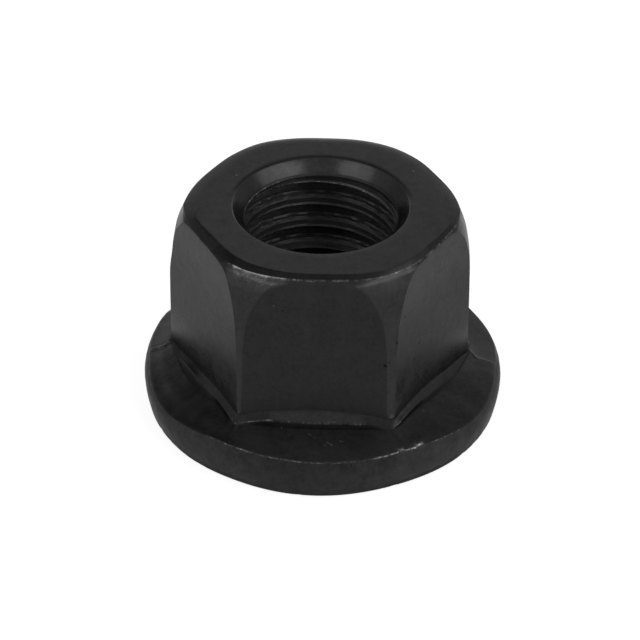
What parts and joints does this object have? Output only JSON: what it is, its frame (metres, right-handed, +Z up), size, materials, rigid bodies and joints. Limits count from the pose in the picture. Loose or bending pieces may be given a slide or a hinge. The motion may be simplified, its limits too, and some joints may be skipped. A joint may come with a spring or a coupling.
{
  "type": "serrated flange nut",
  "caption": "Tall hexagon nut with a forged dome at its corners, a wide sloping flange and ratchet teeth under it that lock against the clamped part",
  "frame": {"origin": "middle of the bearing plane under the flange, on the thread's axis", "axes": "+Z runs up along the thread from the flange to the top face; two corners of the hexagon lie on +X and -X, and a flat faces -Y"},
  "size_m": [0.0208, 0.0206, 0.0129],
  "materials": {
    "black_steel": "black oxide, satin, worn bright at the edges"
  },
  "bodies": {
    "root": {"nut": "black_steel"}
  },
  "joints": []
}
